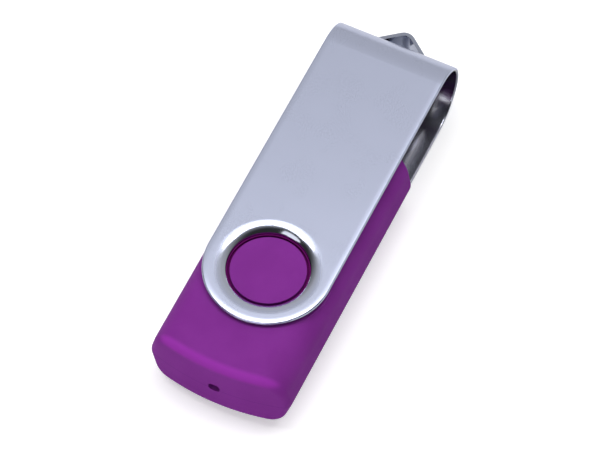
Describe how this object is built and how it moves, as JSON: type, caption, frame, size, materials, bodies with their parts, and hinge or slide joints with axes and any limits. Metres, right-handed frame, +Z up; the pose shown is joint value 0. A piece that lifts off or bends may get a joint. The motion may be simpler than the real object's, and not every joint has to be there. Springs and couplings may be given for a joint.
{
  "type": "usb flash drive",
  "caption": "USB flash drive with a ridge-sided plastic housing and a U-shaped steel cover that swivels over the plug.",
  "frame": {"origin": "centre of the footprint, on the outer face of the cover's lower arm", "axes": "+X along the length from the housing's bowed rear face to the cover's closed end, +Z up through the two arms along the swivel axis, +Y across"},
  "size_m": [0.0592, 0.0198, 0.0118],
  "materials": {
    "cover_steel": "satin",
    "housing_plastic": "satin",
    "plug_steel": "polished",
    "insulator_plastic": "satin",
    "contact_gold": "polished",
    "board_laminate": "glossy",
    "chip_plastic": "matt",
    "tinned_metal": "satin",
    "crystal_ceramic": "matt",
    "crystal_metal": "satin",
    "capacitor_ceramic": "matt",
    "resistor_glaze": "satin",
    "ferrite": "matt",
    "led_housing": "glossy",
    "led_resin": "clear and glossy"
  },
  "bodies": {
    "housing": {"upper_shell": "housing_plastic", "lower_shell": "housing_plastic", "plug_shell": "plug_steel", "plug_insulator": "insulator_plastic", "contact_power": "contact_gold", "contact_data_minus": "contact_gold", "contact_data_plus": "contact_gold", "contact_ground": "contact_gold", "circuit_board": "board_laminate", "flash_chip": "chip_plastic", "flash_chip_leads": "tinned_metal", "controller_chip": "chip_plastic", "controller_leads": "tinned_metal", "voltage_regulator": "chip_plastic", "regulator_leads": "tinned_metal", "crystal_base": "crystal_ceramic", "crystal_can": "crystal_metal", "capacitors": "capacitor_ceramic", "resistors": "resistor_glaze", "ferrite_bead": "ferrite", "end_terminals": "tinned_metal", "led_base": "led_housing", "led_lens": "led_resin", "led_terminals": "tinned_metal", "plug_solder": "tinned_metal"},
    "cover": {"swivel_cover": "cover_steel"}
  },
  "joints": [
    {"name": "cover_swivel", "type": "hinge", "parent": "housing", "child": "cover", "pos_m": [-0.01374, 0, 0.0059], "axis": [0, 0, 1], "continuous": true}
  ]
}
